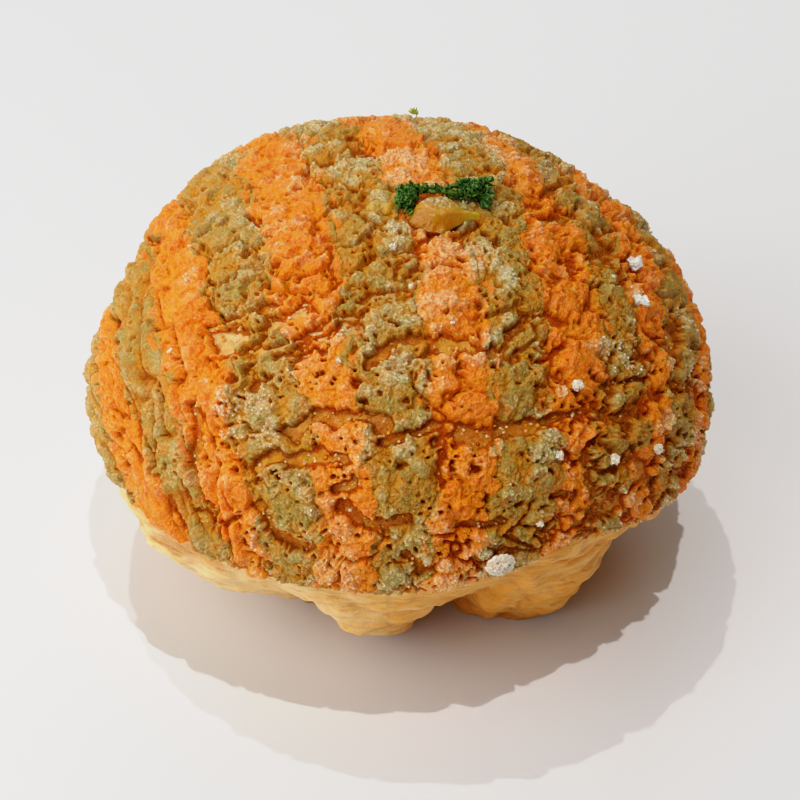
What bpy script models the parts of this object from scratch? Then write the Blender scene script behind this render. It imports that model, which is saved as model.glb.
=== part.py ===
"""A two-coloured melon pan: a soft bread bun baked under strips of biscuit dough.

The bun is an egg of two half ellipsoids that share a waist, with broad swellings. Strips of orange
and green biscuit dough lie side by side over it, from the rim at the front over the crown to the rim
at the back. Below the rim the bare bread tucks in to a ring of lobes that it stands on. Two pieces
of candied peel and a sprig of parsley top it.

+Z is up, the front faces -Y, and the origin is on the table below the middle of the bun.
"""

import bmesh
import bpy
import numpy as np

# The outside of the bun, in metres.
WAIST_RADIUS = 0.0550
WAIST_HEIGHT = 0.0384
CROWN_RISE = 0.0380
BELLY_DROP = 0.0336
MIDDLE = (-0.0001, 0.0000)

# Swellings of the outside: azimuth and angle from the top in degrees, height in metres.
SWELL_SPREAD = 24.0
SWELLS = (
    (-48, 132, -0.0006),
    (-20, 113, 0.0023),
    (0, 90, -0.0012),
    (48, 48, -0.0012),
    (132, 48, 0.0023),
    (160, 67, -0.0024),
    (-172, 92, 0.0006),
)

# The crust is a sheet of strips draped over the bun. A place on the sheet is two angles in degrees:
# u runs across the strips and v along them, both from the sheet's own middle.
SHEET_LEAN_X = 8.9
SHEET_LEAN_Y = -6.0
SHEET_TURN = 11.3
SHEET_STRETCH = 0.952
STRIP_EDGES = (-104.5, -88.4, -74.9, -61.4, -48.3, -35.2, -22.3, -9.9, 2.8, 15.3, 27.1, 38.0, 49.1,
               61.2, 73.3, 85.0)
EDGE_WANDER = 0.9
# Near the rim the strips keep their width, so they splay: from this far along, up to a fifth more.
SPLAY_START = 55.0
SPLAY_LENGTH = 35.0
SPLAY = 0.20
STRIP_GAP = 0.0005
CRUST_GAP = 0.0006
CRUST_CROWN_THICKNESS = 0.0032
CRUST_RIM_THICKNESS = 0.0016
STRIP_EDGE_DROP = 0.0009

# The rim of the crust, as an angle from the top in degrees, with its dips: azimuth, spread, extra angle.
RIM_ANGLE = 95.5
RIM_DIPS = ((-123, 22, 4.5), (-58, 13, -5.5), (-20, 17, 4.0), (120, 25, 2.0))
RIM_WAVE = 0.5

# The bare bread below the rim: lobes as azimuth, reach and half width in degrees.
LOBES = (
    (-98, 0.0285, 15),
    (-42, 0.0325, 17),
    (14, 0.0290, 20),
    (78, 0.0295, 21),
    (140, 0.0285, 20),
    (-158, 0.0255, 18),
)
VALLEY_REACH = 0.0210
VALLEY_LIFT = 0.0040
FLAT_LOBE = 0.80
VALLEY_HOLLOW = 1.25
LOBE_FULLNESS = 0.90
FLANK_ROUNDING = 1.4
SOLE_HOLLOW = 0.0022
SOLE_RING = 0.70
BREAD_ROLL = 4.5

# The bread's net, as angles from the top: its rings are six degrees apart, the crust's rim lies on one
# ring and the foot's edge on another.
BREAD_RINGS = 30
BREAD_SEGMENTS = 48
RIM_TAU = 108.0
FOOT_TAU = 156.0

# The toppings.
REST_GAP = 0.0004
PEEL_THICKNESS = 0.0031
CHIP_THICKNESS = 0.0013

ORANGE_CRUST = (0.80, 0.26, 0.05, 1.0)
GREEN_CRUST = (0.36, 0.33, 0.12, 1.0)
BREAD = (0.75, 0.45, 0.14, 1.0)
PEEL = (0.80, 0.45, 0.05, 1.0)
PARSLEY = (0.02, 0.14, 0.02, 1.0)


def clear_scene():
    """Remove every object."""
    for item in list(bpy.data.objects):
        bpy.data.objects.remove(item, do_unlink=True)


def finish(name, colour, roughness):
    """Return a Principled material of one colour."""
    material = bpy.data.materials.new(name)
    material.use_nodes = True
    shader = material.node_tree.nodes["Principled BSDF"]
    shader.inputs["Base Color"].default_value = colour
    shader.inputs["Roughness"].default_value = roughness
    shader.inputs["Metallic"].default_value = 0.0
    return material


def add_object(name, data, material, collection):
    """Link an object that holds the mesh or curve, with its material."""
    data.materials.append(material)
    piece = bpy.data.objects.new(name, data)
    collection.objects.link(piece)
    return piece


def direction(azimuth, angle):
    """Unit vectors at an azimuth from +X and an angle from the top, both in degrees."""
    a, t = np.radians(azimuth), np.radians(angle)
    return np.stack([np.sin(t) * np.cos(a), np.sin(t) * np.sin(a), np.cos(t) + 0 * a], axis=-1)


def angles(ways):
    """The azimuth and the angle from the top, in degrees, of unit vectors."""
    azimuth = np.degrees(np.arctan2(ways[..., 1], ways[..., 0]))
    return azimuth, np.degrees(np.arccos(np.clip(ways[..., 2], -1.0, 1.0)))


def bump(azimuth, centre, spread):
    """A smooth bell of height 1 around one azimuth."""
    off = (azimuth - centre + 180.0) % 360.0 - 180.0
    return np.exp(-0.5 * (off / spread) ** 2)


def outside(ways, depth=0.0):
    """Points on the bun's outside in the given directions, sunk by a depth along the surface normal.

    Each direction is scaled by the two half ellipsoids, then by one plus the sum of the swellings.
    """
    rise = np.where(ways[..., 2] > 0, CROWN_RISE, BELLY_DROP)
    swell = np.ones(ways.shape[:-1])
    for azimuth, angle, height in SWELLS:
        apart = np.degrees(np.arccos(np.clip(ways @ direction(azimuth, angle), -1.0, 1.0)))
        swell = swell + height / WAIST_RADIUS * np.exp(-0.5 * (apart / SWELL_SPREAD) ** 2)
    reach = np.stack([WAIST_RADIUS * swell, WAIST_RADIUS * swell, rise * swell], axis=-1)
    normal = ways / reach
    normal = normal / np.linalg.norm(normal, axis=-1, keepdims=True)
    points = ways * reach - normal * np.asarray(depth)[..., None]
    return points + np.array([*MIDDLE, WAIST_HEIGHT])


def rim_angle(azimuth):
    """The angle from the top at which the crust ends, for each azimuth."""
    dips = sum(deeper * bump(azimuth, centre, spread) for centre, spread, deeper in RIM_DIPS)
    return RIM_ANGLE + dips + RIM_WAVE * np.sin(np.radians(11 * azimuth))


def crust_thickness(angle):
    """Full over the crown, thinning smoothly over the last 45 degrees to the rim."""
    x = np.clip((RIM_ANGLE + 3.0 - angle) / 45.0, 0.0, 1.0)
    ease = x * x * (3.0 - 2.0 * x)
    return CRUST_RIM_THICKNESS + (CRUST_CROWN_THICKNESS - CRUST_RIM_THICKNESS) * ease


def sheet_axes():
    """The sheet's own three axes: across the strips, along them, and up through its middle."""
    lean_x, lean_y, turn = np.radians([SHEET_LEAN_X, SHEET_LEAN_Y, SHEET_TURN])
    up = np.array([np.sin(lean_x), np.sin(lean_y), 0.0])
    up[2] = np.sqrt(1.0 - up @ up)
    across = np.array([np.cos(turn), np.sin(turn), 0.0])
    across = across - up * (across @ up)
    across = across / np.linalg.norm(across)
    return across, np.cross(up, across), up


def sheet_way(strip_u, v):
    """Directions of places on the sheet: splayed near the rim, stretched, then draped."""
    across, along, up = sheet_axes()
    u = strip_u / (1.0 - SPLAY * np.clip((np.abs(v) - SPLAY_START) / SPLAY_LENGTH, 0.0, 1.5) ** 2)
    far = np.hypot(u, v)
    tau = np.radians(90.0 * (far / 90.0) ** (1.0 / SHEET_STRETCH))
    turn = np.arctan2(v, u)
    flat = across * np.cos(turn)[..., None] + along * np.sin(turn)[..., None]
    return up * np.cos(tau)[..., None] + flat * np.sin(tau)[..., None]


def strip_end(u, side):
    """How far along the sheet a strip runs before the rim, found by halving the interval."""
    near, far = np.zeros_like(u), np.full_like(u, 125.0)
    for _ in range(40):
        middle = 0.5 * (near + far)
        azimuth, angle = angles(sheet_way(u, side * middle))
        inside = angle < rim_angle(azimuth)
        near, far = np.where(inside, middle, near), np.where(inside, far, middle)
    return side * near


def edge_line(index, v):
    """The line between two strips: a straight cut that wanders a little as it was laid."""
    slow = np.sin(v / 15.0 + 2.1 * index)
    quick = 0.4 * np.sin(v / 6.0 + 1.3 * index)
    return STRIP_EDGES[index] + EDGE_WANDER * (slow + quick)


def strip_points(index, across, along, top):
    """Points of a strip from unit coordinates: across and along in -1..1, top 1 outside, 0 under.

    The end of each line across is found at the rim, and its u is then moved between the two edges.
    """
    share = 0.5 * (across + 1.0)
    flat_u = STRIP_EDGES[index] * (1.0 - share) + STRIP_EDGES[index + 1] * share
    end = np.where(along < 0, strip_end(flat_u, -1.0), strip_end(flat_u, 1.0))
    v = np.abs(along) * end
    half_gap = np.degrees(0.5 * STRIP_GAP / WAIST_RADIUS)
    low = edge_line(index, v) + half_gap
    high = edge_line(index + 1, v) - half_gap
    ways = sheet_way(low * (1.0 - share) + high * share, v)
    angle = angles(ways)[1]
    drop = STRIP_EDGE_DROP * np.abs(across) ** 4
    return outside(ways, np.where(top > 0.5, drop, crust_thickness(angle)))


def slab(name, cuts_across, cuts_along, place, material, collection):
    """A closed slab: a grid extruded into two layers, each vertex then put in place by a function."""
    bm = bmesh.new()
    bmesh.ops.create_grid(bm, x_segments=cuts_across, y_segments=cuts_along, size=1.0)
    grown = bmesh.ops.extrude_face_region(bm, geom=bm.faces[:])
    for item in grown["geom"]:
        if isinstance(item, bmesh.types.BMVert):
            item.co.z = 1.0
    unit = np.array([vertex.co[:] for vertex in bm.verts])
    for vertex, point in zip(bm.verts, place(unit[:, 0], unit[:, 1], unit[:, 2])):
        vertex.co = point
    bmesh.ops.recalc_face_normals(bm, faces=bm.faces[:])
    mesh = bpy.data.meshes.new(name)
    bm.to_mesh(mesh)
    bm.free()
    mesh.shade_smooth()
    mesh.set_sharp_from_angle(angle=np.radians(40.0))
    return add_object(name, mesh, material, collection)


def lobe_shape(azimuth):
    """For each azimuth: how much of a lobe it is (0 to 1) and how far the foot reaches."""
    lobe, reach = np.zeros_like(azimuth), np.full_like(azimuth, VALLEY_REACH)
    for centre, foot, width in LOBES:
        off = (azimuth - centre + 180.0) % 360.0 - 180.0
        weight = 1.0 / (1.0 + (off / width) ** 4)
        lobe = np.maximum(lobe, weight)
        reach = reach + (foot - VALLEY_REACH) * weight
    return lobe, reach


def bread_points(azimuth, tau):
    """Points on the bread, from the top (tau 0) past the rim and the foot to the sole's middle (180).

    Over the crown the bread lies under the crust, and a roll of it shows below the rim. Its flank
    tucks in from there to the foot: the radius falls with a power of the height, nearly straight on
    a lobe and hollow in a valley. The sole is flat under the lobes and hollow in the middle.
    """
    middle = np.array(MIDDLE)
    roll = rim_angle(azimuth) + BREAD_ROLL
    angle = np.minimum(tau, RIM_TAU) / RIM_TAU * roll
    skin = outside(direction(azimuth, angle), crust_thickness(angle) + CRUST_GAP)
    edge = outside(direction(azimuth, roll), crust_thickness(roll) + CRUST_GAP)
    edge_radius = np.linalg.norm(edge[..., :2] - middle, axis=-1)

    lobe, foot = lobe_shape(azimuth)
    lift = np.where(lobe > FLAT_LOBE, 0.0, VALLEY_LIFT * (1.0 - lobe) ** 2)
    power = LOBE_FULLNESS * lobe + VALLEY_HOLLOW * (1.0 - lobe)
    x = np.clip((FOOT_TAU - tau) / (FOOT_TAU - RIM_TAU), 0.0, 1.0)
    flank_radius = foot + (edge_radius - foot) * (1.0 - (1.0 - x) ** FLANK_ROUNDING) ** power
    flank_height = lift + (edge[..., 2] - lift) * x

    ring = np.clip((180.0 - tau) / (180.0 - FOOT_TAU), 0.0, 1.0)
    outer = np.clip((ring - SOLE_RING) / (1.0 - SOLE_RING), 0.0, 1.0)
    inner = np.clip((SOLE_RING - ring) / SOLE_RING, 0.0, 1.0)
    sole_height = lift * outer + SOLE_HOLLOW * inner

    on_sole = tau > FOOT_TAU
    radius = np.where(on_sole, foot * ring, flank_radius)
    height = np.where(on_sole, sole_height, flank_height)
    turn = np.radians(azimuth)
    across, back = radius * np.cos(turn) + middle[0], radius * np.sin(turn) + middle[1]
    return np.where((tau > RIM_TAU)[..., None], np.stack([across, back, height], axis=-1), skin)


def make_bread(collection):
    """The bread, from a globe whose vertices are moved to the bread's surface."""
    bm = bmesh.new()
    bmesh.ops.create_uvsphere(bm, u_segments=BREAD_SEGMENTS, v_segments=BREAD_RINGS, radius=1.0)
    azimuth, tau = angles(np.array([vertex.co.normalized()[:] for vertex in bm.verts]))
    for vertex, point in zip(bm.verts, bread_points(azimuth, tau)):
        vertex.co = point
    bmesh.ops.recalc_face_normals(bm, faces=bm.faces[:])
    mesh = bpy.data.meshes.new("bread")
    bm.to_mesh(mesh)
    bm.free()
    mesh.shade_smooth()
    return add_object("bread", mesh, finish("bread", BREAD, 0.6), collection)


def make_crust(collection):
    """Fifteen strips of biscuit dough, green and orange in turn."""
    finishes = (finish("green_crust", GREEN_CRUST, 0.8), finish("orange_crust", ORANGE_CRUST, 0.7))
    for index in range(len(STRIP_EDGES) - 1):
        colour = ("green", "orange")[index % 2]

        def place(across, along, top, index=index):
            return strip_points(index, across, along, top)

        slab(f"crust_{index + 1:02d}_{colour}", 3, 20, place, finishes[index % 2], collection)


def on_crown(x, y, height):
    """Points a given height above the crown at a plan position, found by three corrections."""
    ways = np.stack([x, y, np.full_like(x, CROWN_RISE)], axis=-1)
    for _ in range(12):
        ways = ways / np.linalg.norm(ways, axis=-1, keepdims=True)
        here = outside(ways)
        ways[..., 0] += (x - here[..., 0]) / WAIST_RADIUS
        ways[..., 1] += (y - here[..., 1]) / WAIST_RADIUS
    points = outside(ways / np.linalg.norm(ways, axis=-1, keepdims=True))
    points[..., 2] += height
    return points


def make_peel(collection):
    """Two pieces of candied peel: a wedge cut to a point on the right, and a thin chip behind it."""
    material = finish("candied_peel", PEEL, 0.3)

    def wedge(across, along, top):
        share = 0.5 * (across + 1.0)
        front_y = -0.0076 + 0.0016 * share - 0.0026 * np.sin(np.pi * share) + 0.0016 * top
        back_y = -0.0050 + 0.0022 * np.sin(np.pi * share ** 0.8)
        back = 0.5 * (along + 1.0)
        x, y = 0.0031 + 0.0104 * share, front_y * (1.0 - back) + back_y * back
        thick = PEEL_THICKNESS * (1.0 - 0.55 * share ** 3)
        return on_crown(x, y, REST_GAP + thick * top)

    def chip(across, along, top):
        x = -0.0033 + 0.0018 * across + 0.0003 * along
        y = -0.0014 + 0.0040 * along - 0.0005 * across
        return on_crown(x, y, REST_GAP + CHIP_THICKNESS * top)

    for name, place, cuts in (("candied_wedge", wedge, (4, 3)), ("candied_chip", chip, (2, 3))):
        piece = slab(name, *cuts, place, material, collection)
        soften = piece.modifiers.new("soften", "BEVEL")
        soften.width = 0.0003
        soften.segments = 1
        soften.limit_method = "ANGLE"
        soften.angle_limit = np.radians(50.0)


def make_sprig(collection):
    """A sprig of curly parsley out to its uneven outline: a lumpy tube along its stalk."""
    stalk = (
        (0.0008, -0.0054, 0.0014),
        (0.0010, -0.0032, 0.0021),
        (0.0014, -0.0009, 0.0019),
        (0.0034, -0.0004, 0.0013),
        (0.0064, -0.0007, 0.0011),
        (0.0092, -0.0006, 0.0013),
        (0.0116, -0.0001, 0.0017),
        (0.0136, 0.0008, 0.0020),
        (0.0152, 0.0018, 0.0013),
    )
    places = np.array(stalk)
    points = on_crown(places[:, 0], places[:, 1], REST_GAP + places[:, 2])
    curve = bpy.data.curves.new("parsley_sprig", "CURVE")
    curve.dimensions = "3D"
    curve.bevel_depth = 1.0
    curve.bevel_resolution = 2
    curve.use_fill_caps = True
    line = curve.splines.new("POLY")
    line.points.add(len(points) - 1)
    for knot, point, radius in zip(line.points, points, places[:, 2]):
        knot.co = (*point, 1.0)
        knot.radius = radius
    return add_object("parsley_sprig", curve, finish("parsley", PARSLEY, 0.6), collection)


def main():
    clear_scene()
    bun = bpy.data.collections.new("melon_pan_bun")
    bpy.context.scene.collection.children.link(bun)
    make_bread(bun)
    make_crust(bun)
    make_peel(bun)
    make_sprig(bun)


main()
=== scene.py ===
"""The looks of a two-coloured melon pan: a soft bread bun under cracked strips of biscuit dough.

Sizes are in millimetres and angles in degrees. A mesh is put into metres when it is made. +Z is up,
the front faces -Y, and the origin is on the table below the middle of the bun, as in the frame.
"""

import bpy
import numpy as np
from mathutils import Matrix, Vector


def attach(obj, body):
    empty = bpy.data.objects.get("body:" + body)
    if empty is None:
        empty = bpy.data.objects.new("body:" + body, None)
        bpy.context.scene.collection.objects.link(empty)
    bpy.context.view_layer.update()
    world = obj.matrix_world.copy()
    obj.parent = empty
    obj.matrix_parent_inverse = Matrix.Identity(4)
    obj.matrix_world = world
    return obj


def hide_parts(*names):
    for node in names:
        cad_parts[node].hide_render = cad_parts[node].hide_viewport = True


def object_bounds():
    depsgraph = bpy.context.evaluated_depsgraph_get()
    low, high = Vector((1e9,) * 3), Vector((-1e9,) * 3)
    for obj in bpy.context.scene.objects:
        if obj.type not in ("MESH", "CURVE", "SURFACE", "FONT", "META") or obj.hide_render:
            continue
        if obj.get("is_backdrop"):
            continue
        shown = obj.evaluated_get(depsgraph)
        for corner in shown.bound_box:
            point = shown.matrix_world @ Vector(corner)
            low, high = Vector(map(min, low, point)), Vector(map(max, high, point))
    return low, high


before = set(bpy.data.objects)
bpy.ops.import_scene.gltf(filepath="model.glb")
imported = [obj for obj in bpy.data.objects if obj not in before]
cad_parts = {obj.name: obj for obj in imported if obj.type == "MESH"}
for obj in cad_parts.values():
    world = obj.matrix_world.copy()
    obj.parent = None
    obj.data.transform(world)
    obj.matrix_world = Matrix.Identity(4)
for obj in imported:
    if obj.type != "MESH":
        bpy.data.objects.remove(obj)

cad_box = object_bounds()

# ---------------------------------------------------------------------------------------------------
# The bread. A soft wheat bun, proved round under its crust and baked on a tray. The crown swelled
# through the crust and set smooth and shiny in the cracks; below the rim the bare dough folded in to
# a ring of lobes that the bun stands on, and baked to a matt pale gold.

MM = 0.001

# The outside of the whole bun, which the crust's tops reach.
WAIST_RADIUS = 55.0
WAIST_HEIGHT = 38.4
CROWN_RISE = 38.0
BELLY_DROP = 33.6
MIDDLE = (-0.1, 0.0)

# Swellings of the outside: azimuth, angle from the top, height, spread.
SWELLS = (
    (-48, 132, -0.6, 24),
    (-20, 113, 2.3, 24),
    (0, 90, -1.2, 24),
    (48, 48, -1.2, 24),
    (132, 48, 2.3, 24),
    (160, 67, -2.4, 24),
    (-172, 92, 0.6, 24),
    (178, 93, 0.9, 12),
    (-152, 104, 1.4, 9),
    (166, 78, -1.5, 9),
    (136, 60, 0.5, 9),
    (68, 53, 1.0, 10),
    (25, 72, 0.6, 12),
    (4, 86, 0.8, 6),
    (-20, 106, 1.0, 11),
)

# The rim where the crust ends, as an angle from the top, with its dips: azimuth, spread, extra angle.
RIM_ANGLE = 94.7
RIM_DIPS = ((-119.5, 21, 4.8), (-57.5, 9, -7.4), (-24, 16, 8.0), (120, 25, 2.8))
RIM_WAVE = 0.5

# The lobes below the rim: azimuth, reach of the foot, half width.
LOBES = (
    (-95.4, 27.2, 13.4),
    (-60.6, 23.6, 6.0),
    (-49.3, 25.0, 11.0),
    (-41.4, 30.3, 10.8),
    (13.3, 29.3, 17.0),
    (78, 29.5, 21),
    (140, 28.5, 20),
    (-140, 25.3, 19.9),
)

# The flap of dough that hangs out below the rim at the left, and the tuck in it at the right: azimuth,
# spread, reach.
FLAPS = ((-136.3, 8.7, 3.4), (-36.0, 7.3, -4.8))

# The arches between the lobes: how far out their feet stand, how high they lift off the table, and how
# nearly a lobe a place has to be to lie flat on it. Then the powers that bend the flank: of an arch, of
# a lobe, and of the start of both under the roll. Then the rise of the sole's middle, and the share of
# the way out where it ends.
VALLEY_REACH = 21.0
VALLEY_LIFT = 4.0
FLAT_LOBE = 0.80
VALLEY_HOLLOW = 1.8
LOBE_FULLNESS = 0.95
FLANK_ROUNDING = 1.4
SOLE_HOLLOW = 2.2
SOLE_RING = 0.70

# How deep the dough lies below the outside, how far its roll reaches past the rim in degrees, and the
# net of points over the bread.
DOUGH_DEPTH = 1.9
BREAD_ROLL = 4.5
BREAD_COLUMNS = 620
CROWN_ROWS = 52
FLANK_ROWS = 92
SOLE_ROWS = 10

CROWN_DOUGH = (0.53, 0.150, 0.006, 1.0)
GOLDEN_DOUGH = (0.72, 0.30, 0.022, 1.0)
PALE_DOUGH = (0.80, 0.50, 0.20, 1.0)
FLANK_DOUGH = (0.86, 0.55, 0.21, 1.0)
AMBER_DOUGH = (0.86, 0.38, 0.045, 1.0)
# The browner dough below is used for dark streaks, for the darker foot, and as painted shade in the arches
# and along the creases of the folds.
BROWN_DOUGH_AND_SHADE = (0.50, 0.17, 0.012, 1.0)
STREAK_DOUGH = (0.92, 0.70, 0.38, 1.0)

# Where the dough in the cracks stayed pale or golden: azimuth, angle from the top, spread.
PALE_SPOTS = (
    (-139, 44, 4.5), (-122, 33, 5.0), (-112, 34, 5.0), (-122, 41, 4.0), (-128, 20, 5.0), (-176, 26.5, 3.0),
)
GOLDEN_SPOTS = (
    (-99, 65.5, 3.0), (-81, 62, 2.5), (-116, 64, 4.0), (-106, 60, 4.0), (-150, 45, 14.0), (-75, 35, 4.0),
)

CORNERS = np.array([(x, y, z) for x in (0, 1) for y in (0, 1) for z in (0, 1)])
NEIGHBOURS = np.array([(x, y, z) for x in (-1, 0, 1) for y in (-1, 0, 1) for z in (-1, 0, 1)])


def scramble(cells, seed):
    """A whole number from 0 to 2**32 - 1 for each cell, always the same for a cell and a seed.

    The cell's three whole numbers are multiplied by large primes and added, then mixed by shifts.
    """
    mixed = (cells * np.array([73856093, 19349663, 83492791])).sum(axis=-1) + 668265263 * seed
    mixed = mixed & 0xFFFFFFFF
    mixed = ((mixed ^ (mixed >> 15)) * 2246822519) & 0xFFFFFFFF
    mixed = ((mixed ^ (mixed >> 13)) * 3266489917) & 0xFFFFFFFF
    return mixed ^ (mixed >> 16)


def ripple(places, size, seed):
    """Smooth noise from -1 to 1 with humps about one size across.

    Random values stand on the corners of a lattice, and each place takes the mean of its cell's
    eight corners, weighted by an ease of its distance from each.
    """
    scaled = places / size
    cell = np.floor(scaled).astype(np.int64)
    part = scaled - cell
    eased = part * part * (3.0 - 2.0 * part)
    total = np.zeros(scaled.shape[:-1])
    for corner in CORNERS:
        weight = np.where(corner, eased, 1.0 - eased).prod(axis=-1)
        total += weight * scramble(cell + corner, seed)
    return total / 2.0 ** 31 - 1.0


def grains(places, size, seed):
    """Packed grains: each place's distance from the nearest and the second nearest grain's middle, as
    shares of size, and the nearest grain's own random number from 0 to 1.

    Every lattice cell has one middle at a random spot in it, and the 27 cells around are compared.
    """
    scaled = places / size
    cell = np.floor(scaled).astype(np.int64)
    first = np.full(scaled.shape[:-1], 9.0)
    second, mark = first.copy(), np.zeros_like(first)
    for step in NEIGHBOURS:
        near = cell + step
        bits = scramble(near, seed)
        spot = np.stack([bits & 1023, (bits >> 10) & 1023, (bits >> 20) & 1023], axis=-1) / 1023.0
        far = np.linalg.norm(scaled - near - spot, axis=-1)
        closer = far < first
        second = np.where(closer, first, np.minimum(second, far))
        mark = np.where(closer, (bits >> 8 & 0xFFFF) / 65535.0, mark)
        first = np.where(closer, far, first)
    return first, second, mark


def ease(low, high, value):
    """0 below low, 1 above high, and a smooth S between them."""
    share = np.clip((value - low) / (high - low), 0.0, 1.0)
    return share * share * (3.0 - 2.0 * share)


def direction(azimuth, angle):
    """Unit vectors at an azimuth from +X and an angle from the top."""
    a, t = np.radians(azimuth), np.radians(angle)
    return np.stack([np.sin(t) * np.cos(a), np.sin(t) * np.sin(a), np.cos(t) + 0 * a], axis=-1)


def angles(ways):
    """The azimuth and the angle from the top of unit vectors."""
    azimuth = np.degrees(np.arctan2(ways[..., 1], ways[..., 0]))
    return azimuth, np.degrees(np.arccos(np.clip(ways[..., 2], -1.0, 1.0)))


def bump(azimuth, centre, spread):
    """A smooth bell of height 1 around one azimuth."""
    off = (azimuth - centre + 180.0) % 360.0 - 180.0
    return np.exp(-0.5 * (off / spread) ** 2)


def outside(ways, depth=0.0):
    """Points on the bun's outside in the given directions, sunk by a depth along the surface normal.

    Each direction is scaled by the two half ellipsoids, then by one plus the sum of the swellings.
    """
    rise = np.where(ways[..., 2] > 0, CROWN_RISE, BELLY_DROP)
    swell = np.ones(ways.shape[:-1])
    for azimuth, angle, height, spread in SWELLS:
        apart = np.degrees(np.arccos(np.clip(ways @ direction(azimuth, angle), -1.0, 1.0)))
        swell = swell + height / WAIST_RADIUS * np.exp(-0.5 * (apart / spread) ** 2)
    reach = np.stack([WAIST_RADIUS * swell, WAIST_RADIUS * swell, rise * swell], axis=-1)
    normal = ways / reach
    normal = normal / np.linalg.norm(normal, axis=-1, keepdims=True)
    points = ways * reach - normal * np.asarray(depth)[..., None]
    return points + np.array([*MIDDLE, WAIST_HEIGHT])


def rim_angle(azimuth):
    """The angle from the top at which the crust ends, for each azimuth."""
    dips = sum(deeper * bump(azimuth, centre, spread) for centre, spread, deeper in RIM_DIPS)
    return RIM_ANGLE + dips + RIM_WAVE * np.sin(np.radians(11 * azimuth))


def lobe_shape(azimuth):
    """For each azimuth: how much of a lobe it is (0 to 1) and how far the foot reaches."""
    lobe, reach = np.zeros_like(azimuth), np.full_like(azimuth, VALLEY_REACH)
    for centre, foot, width in LOBES:
        off = (azimuth - centre + 180.0) % 360.0 - 180.0
        weight = 1.0 / (1.0 + (off / width) ** 4)
        lobe = np.maximum(lobe, weight)
        reach = reach + (foot - VALLEY_REACH) * weight
    return lobe, reach


def bread_points(azimuth, down):
    """Points on the bread. down is 0 to 1 over the crown, 1 to 2 down the flank, 2 to 3 in the sole.

    Over the crown the dough lies under the crust. Its flank tucks in from a roll below the rim to
    the foot: the radius falls with a power of the height, nearly straight on a lobe and hollow in a
    valley. The sole is flat under the lobes and hollow in the middle.
    """
    middle = np.array(MIDDLE)
    roll = rim_angle(azimuth) + BREAD_ROLL
    skin = outside(direction(azimuth, np.minimum(down, 1.0) * roll), DOUGH_DEPTH)
    edge = outside(direction(azimuth, roll), DOUGH_DEPTH)
    edge_radius = np.linalg.norm(edge[..., :2] - middle, axis=-1)

    lobe, foot = lobe_shape(azimuth)
    lift = np.where(lobe > FLAT_LOBE, 0.0, VALLEY_LIFT * (1.0 - lobe) ** 2)
    power = LOBE_FULLNESS * lobe + VALLEY_HOLLOW * (1.0 - lobe)
    up = np.clip(2.0 - down, 0.0, 1.0)
    flank_radius = foot + (edge_radius - foot) * (1.0 - (1.0 - up) ** FLANK_ROUNDING) ** power
    flank_height = lift + (edge[..., 2] - lift) * up
    flaps = sum(out * bump(azimuth, centre, spread) for centre, spread, out in FLAPS)
    flank_radius = flank_radius + flaps * ease(0.35, 0.80, up) * ease(1.0, 0.93, up)

    ring = np.clip(3.0 - down, 0.0, 1.0)
    outer = np.clip((ring - SOLE_RING) / (1.0 - SOLE_RING), 0.0, 1.0)
    inner = np.clip((SOLE_RING - ring) / SOLE_RING, 0.0, 1.0)
    sole_height = lift * outer + SOLE_HOLLOW * inner

    radius = np.where(down > 2.0, foot * ring, flank_radius)
    height = np.where(down > 2.0, sole_height, flank_height)
    turn = np.radians(azimuth)
    across, back = radius * np.cos(turn) + middle[0], radius * np.sin(turn) + middle[1]
    return np.where((down > 1.0)[..., None], np.stack([across, back, height], axis=-1), skin)


def surface_normals(points):
    """Outward unit normals of a closed grid whose rows run down and whose columns run round to the left."""
    down = np.gradient(points, axis=0)
    around = np.roll(points, -1, axis=1) - np.roll(points, 1, axis=1)
    normal = np.cross(around, down)
    return normal / np.maximum(np.linalg.norm(normal, axis=-1, keepdims=True), 1e-9)


def put_mesh(name, points, quads, caps=(), material=None, smooth=True):
    """An object from points in millimetres, four-cornered faces, and a few faces of other sizes.

    smooth says whether the faces are shaded as one rounded skin: once for all, or for each face.
    """
    mesh = bpy.data.meshes.new(name)
    mesh.vertices.add(len(points))
    mesh.vertices.foreach_set("co", (points * MM).astype(np.float32).ravel())
    corners = np.concatenate([quads.ravel(), *caps]).astype(np.int32)
    sizes = np.concatenate([np.full(len(quads), 4), [len(cap) for cap in caps]]).astype(np.int32)
    mesh.loops.add(len(corners))
    mesh.loops.foreach_set("vertex_index", corners)
    mesh.polygons.add(len(sizes))
    mesh.polygons.foreach_set("loop_start", np.concatenate([[0], np.cumsum(sizes)[:-1]]).astype(np.int32))
    mesh.polygons.foreach_set("use_smooth", np.broadcast_to(smooth, len(sizes)))
    mesh.update(calc_edges=True)
    mesh.validate()
    if material is not None:
        mesh.materials.append(material)
    piece = bpy.data.objects.new(name, mesh)
    bpy.context.scene.collection.objects.link(piece)
    return piece


def put_values(piece, name, values):
    """Store one number for each vertex under a name, for the material to read."""
    store = piece.data.attributes.new(name, "FLOAT", "POINT")
    store.data.foreach_set("value", np.asarray(values, np.float32).ravel())


def grid_quads(rows, columns, wrap=False, first=0):
    """Faces of a grid of points, row by row. wrap joins the last column to the first."""
    row, column = np.meshgrid(np.arange(rows - 1), np.arange(columns - (0 if wrap else 1)), indexing="ij")
    right = (column + 1) % columns
    here, below = first + row * columns, first + (row + 1) * columns
    return np.stack([here + column, below + column, below + right, here + right], axis=-1).reshape(-1, 4)


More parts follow.
